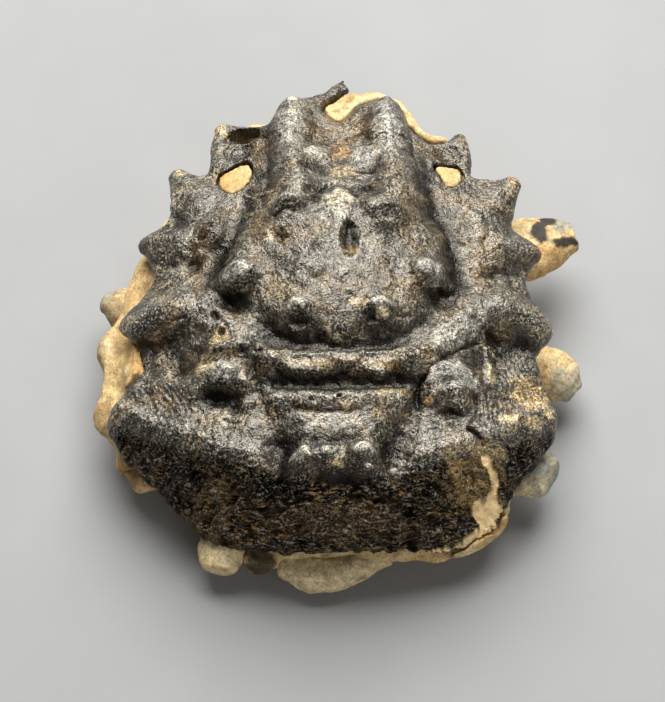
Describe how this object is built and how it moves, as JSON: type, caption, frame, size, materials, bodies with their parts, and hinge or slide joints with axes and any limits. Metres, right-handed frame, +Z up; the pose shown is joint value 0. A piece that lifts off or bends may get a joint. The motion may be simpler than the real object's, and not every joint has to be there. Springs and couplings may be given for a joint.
{
  "type": "fossil crab",
  "caption": "Domed, spiny fossil crab carapace on a block of sandstone, with broken leg pieces around its edge; lies on its flat underside.",
  "frame": {"origin": "on the resting plane, under the middle of the outline", "axes": "+Y to the crab's front, where the rostrum points; +Z up through the crown of the carapace; +X to the right of someone looking down on it with the front away from them"},
  "size_m": [0.054, 0.0587, 0.0238],
  "materials": {
    "shell": "semi-gloss fossil shell, near black to bronze brown with tan dust in its hollows",
    "sandstone": "matte fine-grained sandstone, cream to warm tan",
    "leg_fossil": "matte to satin fossil shell and stone, cream and tan with dark patches",
    "leg_calcite": "smooth satin grey-green stone with a tan rim"
  },
  "bodies": {
    "root": {"carapace": "shell", "matrix": "sandstone", "claw_stub_right": "leg_fossil", "leg_stub_right_middle": "leg_fossil", "leg_stub_right_rear": "leg_calcite", "leg_stub_left_front": "leg_fossil", "leg_stub_left_rear": "leg_fossil", "leg_knuckle_rear_left": "leg_fossil", "leg_stub_rear_middle": "leg_fossil"}
  },
  "joints": []
}
